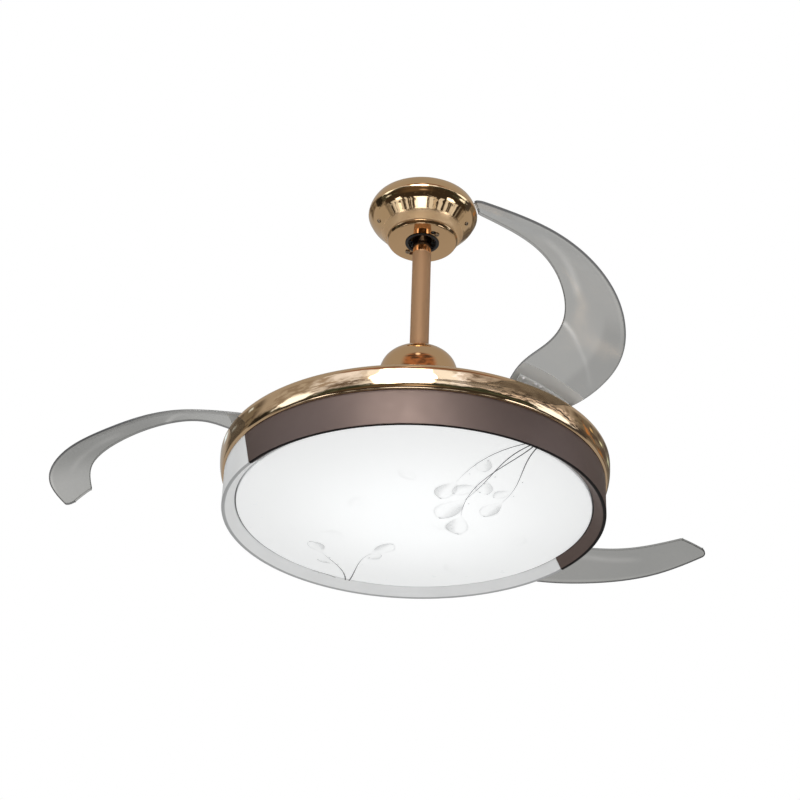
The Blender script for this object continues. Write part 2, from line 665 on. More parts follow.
# black rubber ring in the cap's hole, gripped by a groove
grommet = fillet([(0.0240, 0.4412), (0.0240, 0.4403), (0.0226, 0.4403), (0.0226, 0.4386), (0.0240, 0.4386), (0.0240, 0.4377),
                  (0.0196, 0.4377), (0.0196, 0.4412)], 0.0012, 5, closed=True)
show(revolve("cap_rubber_ring", grommet, 96, rubber), "cap_grommet", "ceiling", angle=50)

SIDE_R, SIDE_H = 0.0642, 0.4630
slope = Vector((0.0695 - 0.0594, 0.4685 - 0.4570)).normalized()
for n, az in enumerate((-15.0, -165.0)):
    out = Vector((slope.y * cos(radians(az)), slope.y * sin(radians(az)), -slope.x))
    base = Vector((SIDE_R * cos(radians(az)), SIDE_R * sin(radians(az)), z_of(SIDE_H)))
    s = pan_screw(f"side_screw_pan_{n + 1}", 0.0029, 0.0016, 0.0014, 0.0038, screw_gold)
    placed(s, frame_matrix(base + out * 0.0003, out))
    show(s, f"canopy_side_screw_{n + 1}", "ceiling")

# ================================================================ ball joint, downrod and coupling
show(revolve("hanger_ball_turned", [(0.0134, BALL_H + 0.0120)] + [
    (BALL_R * cos(a), BALL_H + BALL_R * sin(a)) for a in np.linspace(asin(0.0120 / BALL_R) + 0.28, -0.86, 24)] + [
    (0.0134, BALL_H - 0.0160)], 96, zinc), "hanger_ball", "pendant")

lathe_piece("downrod_tube", "downrod", "pendant", rose,
            [(ROD_R, 0.4900), (ROD_R, 0.2005), (ROD_R - ROD_WALL, 0.2005), (ROD_R - ROD_WALL, 0.4900)], steps=96, r=0.0004)
lathe_piece("coupling_yoke_turned", "coupling_yoke", "pendant", black_coat, [
    (0.0134, 0.2220), (0.0185, 0.2220), (0.0185, 0.1750), (0.0260, 0.1730), (0.0260, 0.1610),
    (0.0093, 0.1610), (0.0093, 0.2000), (0.0134, 0.2000)], steps=96, r=0.0008)

DOME = [(0.0137, 0.2625), (0.0150, 0.2624), (0.0163, 0.2612), (0.0184, 0.2583), (0.0230, 0.2558), (0.0290, 0.2530), (0.0340, 0.2504),
        (0.0386, 0.2474), (0.0425, 0.2444), (0.0460, 0.2408), (0.0489, 0.2368), (0.0511, 0.2322), (0.0527, 0.2272), (0.0538, 0.2215),
        (0.0546, 0.2140), (0.0553, 0.2040)]
dome_line = curve_through(DOME, 4) + [(0.0563, 0.1820), (0.0575, 0.1600)]
show(revolve("coupling_cover_dome", shell(dome_line, 0.0011), 192, gold), "coupling_cover", "pendant", angle=50)

# ================================================================ lamp ring, two halves
RING = [(0.2400, 0.0482), (0.2494, 0.0482), (0.2498, 0.0480), (0.2500, 0.0476), (0.2500, 0.0440), (0.2500, 0.0016),
        (0.2498, 0.0007), (0.2493, 0.0002), (0.2486, 0.0), (0.2474, 0.0), (0.2464, 0.0002), (0.2454, 0.0008)]
RING += curve_through([(0.2440, 0.0020), (0.2412, 0.0048), (0.2378, 0.0080), (0.2350, 0.0103), (0.2336, 0.0125)], 4)[0:]
RING += [(0.2326, 0.0150), (0.2326, 0.0170)]


def ring_half(name, node, first_az, mat):
    prof = shell(RING, 0.0011)
    margin = 0.08
    obj = revolve(name, prof, 200, mat, start=first_az + margin, sweep=180 - 2 * margin, lean=SEAM_LEAN)
    return show(obj, node, "pendant", angle=40)


ring_half("lamp_ring_dark", "ring_half_dark", SEAM_AZ, taupe)
ring_half("lamp_ring_light", "ring_half_light", SEAM_AZ + 180, white)


def dome_h(r):
    return 0.0045 + 0.0060 * (r / 0.2300) ** 2


outer = [(0.2318, 0.0158), (0.2318, 0.0118), (0.2314, 0.0110), (0.2306, 0.0106)]
outer += [(r, dome_h(r)) for r in np.linspace(0.2295, 0.0, 40)]
inner = [(r, dome_h(r) + 0.0020) for r in np.linspace(0.0, 0.2290, 40)] + [(0.2298, 0.0130), (0.2298, 0.0158)]
show(revolve("diffuser_dish", outer + inner, 192, opal, closed=True), "diffuser", "pendant", angle=50)

# ================================================================ motor and turning body
lathe_piece("rotor_case_bottom", "rotor_cover_bottom", "rotor", cast, [
    (0.0980, 0.1194), (0.0980, 0.0880), (0.1052, 0.0870), (0.1052, 0.0524), (0.0900, 0.0524), (0.0900, 0.0850),
    (0.0125, 0.0850), (0.0125, 0.0897), (0.0203, 0.0897), (0.0203, 0.0985), (0.0270, 0.0985), (0.0270, 0.0890),
    (0.0945, 0.0890), (0.0945, 0.1194)], r=0.0010)
lathe_piece("rotor_case_top", "rotor_cover_top", "rotor", cast, [
    (0.0125, 0.1550), (0.0900, 0.1550), (0.0980, 0.1490), (0.0980, 0.1197), (0.0945, 0.1197),
    (0.0945, 0.1460), (0.0880, 0.1515), (0.0270, 0.1515), (0.0270, 0.1430), (0.0203, 0.1430), (0.0203, 0.1513),
    (0.0125, 0.1513)], r=0.0022)

RIM = [(0.2466, 0.0782), (0.2468, 0.0796), (0.2476, 0.0806), (0.2490, 0.0811), (0.2506, 0.0812), (0.2522, 0.0810), (0.2537, 0.0804),
       (0.2549, 0.0794), (0.2558, 0.0780), (0.2563, 0.0762), (0.2565, 0.0738), (0.2565, 0.0705), (0.25640, 0.0670),
       (0.25624, 0.0640), (0.25597, 0.0610), (0.25562, 0.0585), (0.25514, 0.0560), (0.25453, 0.0535), (0.25390, 0.0515), (0.25336, 0.0502),
       (0.25274, 0.0492), (0.2520, 0.0484), (0.2514, 0.0479)]
rim_line = curve_through(RIM, 4) + [(0.25035, 0.0478)]
band_piece = revolve("rim_band_face", shell(rim_line, 0.0011), 256, gold_rim)
foot_piece = revolve("rim_band_foot", fillet([(0.2430, 0.0487), (0.2525, 0.0487), (0.2525, 0.0498), (0.2430, 0.0498)], 0.0003, closed=True), 256, gold_rim)
show(merged("rim_band", [band_piece, foot_piece], gold_rim), "rim_ring", "rotor", angle=50)

tray = [revolve("tray_sheet", fillet([(0.0300, 0.0520), (0.2444, 0.0520), (0.2444, 0.0502), (0.0300, 0.0502)], 0.0003, closed=True), 192, black_coat)]
STOP = Vector((-0.2070, -0.0980))
for k, (x, y) in enumerate(PIVOTS):
    boss = revolve(f"boss_{k}", fillet([(0.0052, 0.0514), (0.0128, 0.0514), (0.0100, 0.0528), (0.0090, 0.0545), (0.0090, 0.0740), (0.0052, 0.0740)],
                                       0.0006, closed=True), 48, black_coat)
    placed(boss, Matrix.Translation((x, y, 0)))
    s = Matrix.Rotation(radians(-120 * k), 2) @ STOP
    stop = revolve(f"stop_{k}", fillet([(0, 0.0514), (0.0040, 0.0514), (0.0040, 0.0925), (0, 0.0925)], 0.0008), 40, black_coat, closed=False)
    placed(stop, Matrix.Translation((s.x, s.y, 0)))
    tray += [boss, stop]
o = merged("blade_tray_sheet", tray, black_coat)
show(o, "blade_tray", "rotor")

# ================================================================ gears
PRESSURE = radians(20)


def involute(a):
    return tan(a) - a


def gear_outline(teeth, phase, backlash=0.0003, addendum=0.95, dedendum=1.2):
    """Outline of a spur gear with involute flanks and rounded roots; a tooth is centred on the phase angle."""
    r = GEAR_M * teeth / 2
    base = r * cos(PRESSURE)
    root, tip = r - dedendum * GEAR_M, r + addendum * GEAR_M
    half = pi / (2 * teeth) - backlash / (2 * r) + involute(PRESSURE)

    def half_angle(q):
        return half - (involute(acos(base / q)) if q > base else 0)

    qs = [root + (tip - root) * k / 6 for k in range(7)]
    flank = [(q, half_angle(q)) for q in qs]
    flank[0] = (root, flank[0][1] + 0.0009 / root)
    flank.insert(1, (root + 0.0005, half_angle(root + 0.0005) + 0.0003 / root))
    flank[-1] = (tip - 0.0003, half_angle(tip - 0.0003))
    flank.append((tip, half_angle(tip) - 0.0003 / tip))
    pts = []
    for k in range(teeth):
        c = phase + 2 * pi * k / teeth
        pts += [(q * cos(c - a), q * sin(c - a)) for q, a in flank]
        pts += [(q * cos(c + a), q * sin(c + a)) for q, a in reversed(flank)]
    return pts


GEAR_H0, GEAR_H1 = 0.0765, 0.0845
show(plate("sync_gear_moulded", [gear_outline(RING_TEETH, radians(PIVOT_AZ)), circle(0.1058, 160)], GEAR_H0, GEAR_H1, nylon),
     "sync_gear", "sync")


# ================================================================ blades
def natural_spline(knots, points):
    p = np.array(points, float)
    n = len(knots)
    h = np.diff(knots)
    a = np.zeros((n, n))
    b = np.zeros((n, p.shape[1]))
    a[0, 0] = a[-1, -1] = 1
    for i in range(1, n - 1):
        a[i, i - 1], a[i, i], a[i, i + 1] = h[i - 1], 2 * (h[i - 1] + h[i]), h[i]
        b[i] = 6 * ((p[i + 1] - p[i]) / h[i] - (p[i] - p[i - 1]) / h[i - 1])
    m = np.linalg.solve(a, b)

    def at(t):
        i = min(max(int(np.searchsorted(knots, t)) - 1, 0), n - 2)
        lo, hi, w = knots[i + 1] - t, t - knots[i], h[i]
        return (m[i] * lo ** 3 + m[i + 1] * hi ** 3) / (6 * w) + (p[i] / w - m[i] * w / 6) * lo + (p[i + 1] / w - m[i + 1] * w / 6) * hi
    return at


_mid = (np.array(BLADE_OUTER) + np.array(BLADE_INNER)) / 2
_knots = np.concatenate([[0], np.cumsum(np.linalg.norm(np.diff(_mid, axis=0), axis=1))])
_knots /= _knots[-1]
outer_edge = natural_spline(_knots, BLADE_OUTER)
inner_edge = natural_spline(_knots, BLADE_INNER)


TIP_ROUND = (0.0085, 0.0065)       # corner radii at the tip: convex side, hollow side


def _plan(edge, u):
    return Vector(edge(u)[:2])


def _corner(apex, d1, d2, r):
    """Centre of the round in a corner, and how far along both sides it starts."""
    half = d1.angle(d2) / 2
    return apex + (d1 + d2).normalized() * r / sin(half), r / tan(half)


_o1, _i1 = _plan(outer_edge, 1), _plan(inner_edge, 1)
_end = (_i1 - _o1).normalized()
_co, _lo = _corner(_o1, (_plan(outer_edge, 0.97) - _o1).normalized(), _end, TIP_ROUND[0])
_ci, _li = _corner(_i1, (_plan(inner_edge, 0.97) - _i1).normalized(), -_end, TIP_ROUND[1])


def row_limits(u):
    """The share of the row's width, from and to, that the rounded tip corners leave."""
    o, i = _plan(outer_edge, u), _plan(inner_edge, u)
    d = i - o
    out = [0.0, 1.0]
    for k, (centre, r, reach, apex, edge) in enumerate(((_co, TIP_ROUND[0], _lo, _o1, o), (_ci, TIP_ROUND[1], _li, _i1, i))):
        if (edge - apex).length < reach:
            f = o - centre
            a, b, c = d.dot(d), 2 * f.dot(d), f.dot(f) - r * r
            disc = max(b * b - 4 * a * c, 0)
            out[k] = (-b - sqrt(disc)) / (2 * a) if k == 0 else (-b + sqrt(disc)) / (2 * a)
    return out


def blade_point(u, t, round_tip=False):
    """Middle surface of the first blade, about its pivot: u from root to tip, t from the convex edge to the hollow one."""
    o, i = outer_edge(u), inner_edge(u)
    if round_tip:
        lo, hi = row_limits(u)
        t = lo + (hi - lo) * t
    camber = 1 - (1 - t) ** (1.9 - 0.6 * u)
    p = o + (i - o) * t
    return Vector((p[0] - PIVOTS[0][0], p[1] - PIVOTS[0][1], z_of(o[2] + (i[2] - o[2]) * camber)))


def ramp(x, lo, hi):
    x = min(max((x - lo) / (hi - lo), 0.0), 1.0)
    return x * x * (3 - 2 * x)


def near_line(u, t, a, b, width):
    """1 on a line drawn over the blade, falling to 0 at its width; and the place along the line."""
    p, a, b = Vector((u * 0.456, t * 0.075)), Vector((a[0] * 0.456, a[1] * 0.075)), Vector((b[0] * 0.456, b[1] * 0.075))
    d = b - a
    k = min(max((p - a).dot(d) / d.dot(d), 0.0), 1.0)
    return max(0.0, 1 - (p - (a + d * k)).length / width), k


def edge_tone(u, t, lip):
    """How dark the acrylic looks: cut edges, and the rolled strip near the root."""
    v = 0.0
    if lip:
        if t < 0.01:
            v = 0.45 + 0.55 * ramp(u, 0.15, 0.40)
        elif t > 0.99:
            v = 0.75 * (1 - ramp(u, 0.30, 0.60)) + 0.15
        else:
            v = 0.20
    v = max(v, 0.16 * ramp(0.46 - u, 0.0, 0.12) * (1 - ramp(t, 0.28, 0.40)))
    return v


def glow_tone(u, t):
    """Soft light lines: along the convex edge, across the middle, and on the crease near the root."""
    v = 0.38 * (1 - abs(t - 0.055) / 0.030) * ramp(u, 0.25, 0.45) * (1 - ramp(u, 0.80, 0.97)) if abs(t - 0.055) < 0.030 else 0.0
    w, k = near_line(u, t, (0.83, 0.51), (0.495, 0.775), 0.009)
    v = max(v, 0.55 * w * (0.4 + 0.6 * k) * ramp(k, 0.0, 0.2) * ramp(1 - k, 0.0, 0.2))
    w, k = near_line(u, t, (0.375, 0.97), (0.24, 0.525), 0.0040)
    v = max(v, 0.95 * w * (1 - 0.75 * k))
    w, k = near_line(u, t, (0.24, 0.525), (0.145, 0.10), 0.0035)
    v = max(v, 0.30 * w * (1 - 0.5 * k))
    return v


def blade_normal(u, t):
    e = 1e-3
    du = blade_point(min(u + e, 1), t) - blade_point(max(u - e, 0), t)
    dt = blade_point(u, min(t + e, 1)) - blade_point(u, max(t - e, 0))
    n = du.cross(dt)
    return (n if n.z > 0 else -n).normalized()


def sheet(name, us, ts, lift, wall, mat, round_tip=False, taper=None, lip=4, tones=False):
    """A sheet with rounded edges that follows the blade's surface."""
    bm = bmesh.new()
    edge_layer = bm.verts.layers.float.new("edge") if tones else None
    glow_layer = bm.verts.layers.float.new("glow") if tones else None
    root_layer = bm.verts.layers.float.new("root") if tones else None

    def tell(v, i, j, on_lip, under=False):
        if tones:
            lo, hi = row_limits(us[i]) if round_tip else (0, 1)
            t = lo + (hi - lo) * ts[j]
            side = ts[j] if 0 < j < len(ts) - 1 else round(ts[j])
            v[edge_layer] = edge_tone(us[i], side if on_lip else t, on_lip)
            v[glow_layer] = 0.0 if on_lip else glow_tone(us[i], t)
            v[root_layer] = 1 - ramp(us[i], 0.100, 0.112) if under else 0.0
        return v

    top, bot, mids = [], [], []
    half = wall / 2
    inset = half * 0.9
    for u in us:
        a, b, m = [], [], []
        for t in ts:
            tt = t
            if taper and u < taper[0]:
                k = min((taper[0] - u) * taper[1], 0.42)
                tt = 0.46 + (t - 0.46) * (1 - k / 0.5)
            p = blade_point(u, tt, round_tip) + Vector((0, 0, lift))
            n = blade_normal(u, min(max(tt, 0.0), 1.0))
            m.append((p, n))
        mids.append(m)
    nu, nt = len(us), len(ts)
    # outline, in order round the sheet
    ring = [(i, 0) for i in range(nu)] + [(nu - 1, j) for j in range(1, nt)] + [(i, nt - 1) for i in range(nu - 2, -1, -1)] + [(0, j) for j in range(nt - 2, 0, -1)]
    edge_at = set(ring)
    out_dir = {}
    for k, (i, j) in enumerate(ring):
        p0 = mids[ring[k - 1][0]][ring[k - 1][1]][0]
        p1 = mids[ring[(k + 1) % len(ring)][0]][ring[(k + 1) % len(ring)][1]][0]
        n = mids[i][j][1]
        d = (p1 - p0).cross(n).normalized()
        out_dir[(i, j)] = d
    centre = mids[nu // 2][nt // 2][0]
    probe = ring[nu // 2]
    if out_dir[probe].dot(mids[probe[0]][probe[1]][0] - centre) < 0:
        out_dir = {k: -d for k, d in out_dir.items()}
    vt, vb = {}, {}
    for i in range(nu):
        for j in range(nt):
            p, n = mids[i][j]
            if (i, j) in edge_at:
                p = p - out_dir[(i, j)] * inset
            on_lip = False
            vt[(i, j)] = tell(bm.verts.new(p + n * half), i, j, on_lip)
            vb[(i, j)] = tell(bm.verts.new(p - n * half), i, j, on_lip, True)
    for i in range(nu - 1):
        for j in range(nt - 1):
            bm.faces.new((vt[(i, j)], vt[(i + 1, j)], vt[(i + 1, j + 1)], vt[(i, j + 1)]))
            bm.faces.new((vb[(i, j)], vb[(i, j + 1)], vb[(i + 1, j + 1)], vb[(i + 1, j)]))
    rows = []
    for (i, j) in ring:
        p, n = mids[i][j]
        d = out_dir[(i, j)]
        c = p - d * inset
        row = [vt[(i, j)]]
        for k in range(1, lip):
            a = radians(90 - 180 * k / lip)
            row.append(tell(bm.verts.new(c + n * half * sin(a) + d * inset * cos(a)), i, j, True))
        row.append(vb[(i, j)])
        rows.append(row)
    for k in range(len(rows)):
        a, b = rows[k], rows[(k + 1) % len(rows)]
        for q in range(lip):
            bm.faces.new((a[q], a[q + 1], b[q + 1], b[q]))
    bmesh.ops.recalc_face_normals(bm, faces=bm.faces)
    return new_object(name, bm, mat)


SCREW_U = 0.047
SCREW_T = (0.22, 0.50, 0.78)
PAD_T, CLAMP_T = 0.0035, 0.0015
pad_lift = -(BLADE_T / 2 + 2 * GAP + PAD_T / 2)
clamp_lift = BLADE_T / 2 + 2 * GAP + CLAMP_T / 2
screw_at = [blade_point(SCREW_U, t) for t in SCREW_T]
to_first = Matrix.Translation((PIVOTS[0][0], PIVOTS[0][1], 0))

us = list(np.linspace(0.012, 0.962, 150)) + list(1 - 0.036 * (1 - np.sin(np.radians(np.arange(4, 90, 4))))) + [0.9998]
ts = [0, 0.012] + list(np.linspace(0.03, 0.97, 41)) + [0.988, 1]
blade = sheet("blade_1", us, ts, 0, BLADE_T, smoke, round_tip=True, tones=True)

arm = sheet("arm_1", list(np.linspace(-0.040, 0.064, 17)), list(np.linspace(0.08, 0.92, 17)), pad_lift, PAD_T, alloy, taper=(0.010, 8.0))
arm_boss = revolve("arm_boss", fillet([(0.0052, 0.0848), (0.0135, 0.0848), (0.0135, 0.1050), (0.0052, 0.1050)], 0.0010, closed=True), 64, alloy)
arm_parts, rivets = [arm, arm_boss], []
for k, t in enumerate((0.85, 0.64, 0.56)):
    p = blade_point(0.0602, t)
    h = DROP + p.z + pad_lift - PAD_T / 2
    rivet = revolve(f"arm_rivet_{k}", [(0, h + 0.0004), (0.0020, h + 0.0004), (0.0020, h), (0.0019, h - 0.0009), (0.0015, h - 0.0016), (0.0008, h - 0.0020), (0, h - 0.0021)],
                    28, rivet_white, closed=False)
    placed(rivet, Matrix.Translation((p.x, p.y, 0)))
    rivets.append(rivet)
arm = merged("blade_arm_1", arm_parts, alloy)
rivets = merged("arm_rivets_1", rivets, rivet_white)

clamp = [sheet("clamp_1", list(np.linspace(0.036, 0.054, 7)), list(np.linspace(0.12, 0.88, 17)), clamp_lift, CLAMP_T, clamp_grey)]
pad_under = pad_lift - PAD_T / 2
for k, p in enumerate(screw_at):
    head = pan_screw(f"blade_screw_{k}", 0.0040, 0.0024, 0.0016, 0.0011 - pad_under + clamp_lift, bright_steel)
    placed(head, Matrix.Translation((p.x, p.y, p.z + clamp_lift + CLAMP_T / 2)))
    nut = plate(f"blade_nut_{k}", [circle(0.0034, 6), circle(0.0015, 20)], DROP + pad_under - 0.0038 + p.z, DROP + pad_under - 0.0014 + p.z, bright_steel, edge=0.0002)
    placed(nut, Matrix.Translation((p.x, p.y, 0)))
    end = revolve(f"blade_screw_end_{k}", [(0, DROP + p.z + pad_under - 0.0016), (0.0016, DROP + p.z + pad_under - 0.0016),
                                           (0.0016, DROP + p.z + pad_under - 0.0036), (0.0011, DROP + p.z + pad_under - 0.0040), (0, DROP + p.z + pad_under - 0.0040)],
                  20, bright_steel, closed=False)
    placed(end, Matrix.Translation((p.x, p.y, 0)))
    clamp += [head, nut, end]
clamp = merged("blade_clamp_1", clamp, clamp_grey)

toward_axis = radians(PIVOT_AZ - 180)
pinion = plate("blade_gear_1", [gear_outline(BLADE_TEETH, toward_axis + pi / BLADE_TEETH), circle(0.0052, 40)], GEAR_H0, GEAR_H1, nylon)
bolt = revolve("pivot_bolt_1", fillet([(0, 0.1090), (0.0070, 0.1090), (0.0080, 0.1080), (0.0080, 0.1053), (0.0049, 0.1053), (0.0049, 0.0565), (0, 0.0565)], 0.0004),
               64, bright_steel, closed=False)
hexhole = plate("bolt_hex", [circle(0.0033, 6)], 0.1060, 0.1100)
bolt = boolean(bolt, [hexhole])

COIL_R, WIRE_R, TURNS = 0.0125, 0.0010, 3
per = 28
coil = [(COIL_R + 0.012, -0.0004, z_of(0.0534)), (COIL_R + 0.006, -0.0004, z_of(0.0534))]
coil += [(COIL_R * cos(2 * pi * k / per), COIL_R * sin(2 * pi * k / per), z_of(0.0535 + 0.0205 * k / (per * TURNS))) for k in range(per * TURNS + 1)]
coil += [(COIL_R + 0.006, 0.0004, z_of(0.0744)), (COIL_R + 0.012, 0.0005, z_of(0.0744))]
spring = tube("return_spring_1", coil, WIRE_R * 0.98, 10, bright_steel)

first = {"blade": (blade, "smoke_acrylic", 0), "blade_arm": (arm, "satin_alloy", 0), "blade_clamp": (clamp, "zinc_steel", 0),
         "blade_gear": (pinion, "nylon", 0), "pivot_bolt": (bolt, "zinc_steel", 1), "return_spring": (spring, "zinc_steel", 1)}
for stem, (src, slot, fixed) in first.items():
    base = src.data
    for k, (x, y) in enumerate(PIVOTS):
        mesh = base.copy()
        mesh.transform(Matrix.Translation((x, y, 0)) @ Matrix.Rotation(radians(-120 * k), 4, 'Z'))
        if stem == "blade":                     # the three castings differ a little in how dark they came out
            middle = sum((v.co for v in mesh.vertices), Vector()) / len(mesh.vertices)
            shade = 0.71 if middle.x < -0.25 else 0.6 if middle.y < 0.0 else 0.0
            mesh.attributes.new("shade", 'FLOAT', 'POINT').data.foreach_set("value", [shade] * len(mesh.vertices))
        obj = bpy.data.objects.new(f"{stem}_part_{k + 1}", mesh)
        bpy.context.scene.collection.objects.link(obj)
        show(obj, f"{stem}_{k + 1}", "rotor" if fixed else f"wing_{k + 1}", angle=40)
    bpy.data.objects.remove(src, do_unlink=True)
for k, (x, y) in enumerate(PIVOTS):
    mesh = rivets.data.copy()
    mesh.transform(Matrix.Translation((x, y, 0)) @ Matrix.Rotation(radians(-120 * k), 4, 'Z'))
    obj = bpy.data.objects.new(f"arm_rivets_part_{k + 1}", mesh)
    bpy.context.scene.collection.objects.link(obj)
    smooth(obj, 40)
    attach(obj, f"wing_{k + 1}")
bpy.data.objects.remove(rivets, do_unlink=True)


# ================================================================ print on the diffuser: leaf sprigs
def on_dome(x, y, lift):
    return Vector((x, y, z_of(dome_h(sqrt(x * x + y * y)) - lift)))


def bezier(p, n):
    out = []
    for k in range(n + 1):
        t = k / n
        q = [Vector(a) for a in p]
        while len(q) > 1:
            q = [a.lerp(b, t) for a, b in zip(q, q[1:])]
        out.append(q[0])
    return out


def ribbon(bm, layer, line, width, ink, lift):
    """A printed stroke: a thin closed strip on the dome, as wide and as dark as told along it."""
    rows = []
    for k, p in enumerate(line):
        t = k / (len(line) - 1)
        d = (line[min(k + 1, len(line) - 1)] - line[max(k - 1, 0)]).normalized()
        s = Vector((-d.y, d.x)) * width(t) / 2
        rows.append([bm.verts.new(on_dome(p.x + a * s.x, p.y + a * s.y, z)) for a, z in ((-1, lift), (1, lift), (1, 0.00002), (-1, 0.00002))])
        for v in rows[-1]:
            v[layer] = ink(t)
    for a, b in zip(rows, rows[1:]):
        for q in range(4):
            bm.faces.new((a[q], a[(q + 1) % 4], b[(q + 1) % 4], b[q]))
    bm.faces.new(rows[0][::-1])
    bm.faces.new(rows[-1])


def leaf(bm, layer, base, tip, width, ink, lift, shade=1.0):
    """A pale petal, softly shaded inside one side, with a small dark tip."""
    base, tip = Vector(base), Vector(tip)
    d = tip - base
    side = Vector((-d.y, d.x)).normalized() * width / 2
    nl, nw = 28, 16
    rows = []
    for i in range(nl + 1):
        t = i / nl
        w = sin(pi * t ** 1.25) ** 0.7 if 0 < t < 1 else 0.0
        w = max(w, 0.02)
        row_low, row_up = [], []
        for j in range(nw + 1):
            s = -1 + 2 * j / nw
            p = base + d * t + side * (s * w + 0.22 * sin(pi * t))
            q = s if shade > 0 else -s
            soft = ramp(q, -0.1, 0.72) * (1 - ramp(q, 0.80, 1.0))
            line = ramp(abs(s), 0.70, 0.88) * (1 - ramp(abs(s), 0.90, 1.0)) * (0.25 + 0.35 * t)
            value = ink * (0.05 + 0.55 * soft * ramp(t, 0.05, 0.35) + line + 1.6 * ramp(t, 0.90, 0.99) * (1 - abs(s)))
            a, b = bm.verts.new(on_dome(p.x, p.y, lift)), bm.verts.new(on_dome(p.x, p.y, 0.00002))
            a[layer] = b[layer] = min(value, 1.0)
            row_low.append(a)
            row_up.append(b)
        rows.append((row_low, row_up))
    for (a, ua), (b, ub) in zip(rows, rows[1:]):
        for j in range(nw):
            bm.faces.new((a[j], a[j + 1], b[j + 1], b[j]))
            bm.faces.new((ua[j], ub[j], ub[j + 1], ua[j + 1]))
        bm.faces.new((a[0], b[0], ub[0], ua[0]))
        bm.faces.new((a[nw], ua[nw], ub[nw], b[nw]))
    for (a, ua), flip in ((rows[0], False), (rows[-1], True)):
        for j in range(nw):
            q = (a[j], ua[j], ua[j + 1], a[j + 1])
            bm.faces.new(q[::-1] if flip else q)


def dot(bm, layer, at, r, ink, lift):
    c = Vector(at)
    ring = [c + Vector((cos(2 * pi * k / 14), sin(2 * pi * k / 14))) * r for k in range(14)]
    a = [bm.verts.new(on_dome(p.x, p.y, lift)) for p in ring]
    b = [bm.verts.new(on_dome(p.x, p.y, 0.00002)) for p in ring]
    for v in a + b:
        v[layer] = ink
    bm.faces.new(a)
    bm.faces.new(b[::-1])
    for k in range(14):
        bm.faces.new((a[k], b[k], b[(k + 1) % 14], a[(k + 1) % 14]))


def print_piece(name, mat, draw):
    bm = bmesh.new()
    layer = bm.verts.layers.float.new("ink")
    draw(bm, layer)
    bmesh.ops.recalc_face_normals(bm, faces=bm.faces)
    o = new_object(name, bm, mat)
    smooth(o, 60)
    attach(o, "pendant")
    return o


# stems as Bezier control points in plan; leaves sit along them
SPRIGS = [
    ([(0.1467, -0.1950), (0.1090, -0.1850), (0.0760, -0.1560), (0.0520, -0.0960)], 0.60),
    ([(0.1434, -0.1905), (0.1010, -0.1560), (0.1000, -0.1080), (0.0640, -0.0480)], 0.95),
    ([(0.1452, -0.1880), (0.1180, -0.1380), (0.0620, -0.1020), (0.0610, -0.0020)], 0.80),
    ([(0.1511, -0.1880), (0.1270, -0.1420), (0.1390, -0.0900), (0.1120, -0.0420)], 0.60),
    ([(-0.0941, 0.2210), (-0.0900, 0.1780), (-0.1130, 0.1480), (-0.1240, 0.1230)], 0.55),
    ([(-0.0900, 0.2210), (-0.0780, 0.1880), (-0.0790, 0.1420), (-0.0560, 0.1180)], 0.55),
    ([(-0.0990, 0.2200), (-0.1130, 0.2010), (-0.1250, 0.1890), (-0.1430, 0.1880)], 0.40),
]


def draw_stems(bm, layer):
    for pts, strength in SPRIGS:
        line = bezier(pts, 56)
        ribbon(bm, layer, line, lambda t: 0.0018 - 0.0011 * t, lambda t, s=strength: s * (1.0 - 0.80 * t), 0.00009)
    for pts, strength in SPRIGS:
        line = bezier(pts, 48)
        for f in (0.62, 0.86):
            dot(bm, layer, line[int(f * 48)] + Vector((0.005, 0.004)), 0.0009, 0.45 * strength, 0.00011)


def draw_leaves(bm, layer):
    for n, (pts, strength) in enumerate(SPRIGS):
        line = bezier(pts, 48)
        size = (0.050, 0.062, 0.054, 0.046, 0.038, 0.044, 0.030)[n]
        for q, f in enumerate((0.58, 0.80)):
            if (n + q) % 2:
                continue
            i = int(f * 48)
            d = (line[i] - line[i - 2]).normalized()
            turn = radians(38 if n % 2 else -38)
            e = Vector((d.x * cos(turn) - d.y * sin(turn), d.x * sin(turn) + d.y * cos(turn)))
            leaf(bm, layer, line[i], line[i] + e * size * (0.75 - 0.1 * q), 0.46 * size, 0.13, 0.00005, 1 if q % 2 else -1)
        d = (line[-1] - line[-3]).normalized()
        leaf(bm, layer, line[-1], line[-1] + d * size, 0.60 * size, 0.17, 0.00005, -1 if n % 2 else 1)
    # faint leaves further off
    for x, y, a in ((0.02, 0.02, 20), (-0.06, -0.05, 130), (-0.09, 0.07, 200), (0.13, 0.09, 300), (0.05, 0.14, 80), (-0.02, -0.13, 60)):
        e = Vector((cos(radians(a)), sin(radians(a)))) * 0.036
        leaf(bm, layer, (x, y), (x + e.x, y + e.y), 0.020, 0.045, 0.00004)


print_piece("print_leaves", leaf_ink, draw_leaves)
print_piece("print_stems", stem_ink, draw_stems)

# ================================================================ finishes of the frame's own nodes that stay
keep = {
    "hanger_yoke": zinc, "yoke_bolt_1": bright_steel, "yoke_bolt_2": bright_steel, "terminal_block": nylon, "ball_liner": nylon,
    "ball_pin": bright_steel, "coupling_pin": bright_steel, "motor_shaft": bright_steel, "stator_core": lamination,
    "winding_top": copper, "winding_bottom": copper, "bearing_top": bright_steel, "bearing_bottom": bright_steel,
    "magnet_ring": ferrite, "lamp_pan": spun, "shaft_nut": zinc, "led_board": board, "led_driver": board,
    "receiver_box": black_plastic, "lead_cable": rubber,
}
for name, mat in keep.items():
    obj = nodes[name]
    if not obj.material_slots:
        obj.data.materials.append(mat)
    for s in obj.material_slots:
        s.material = mat

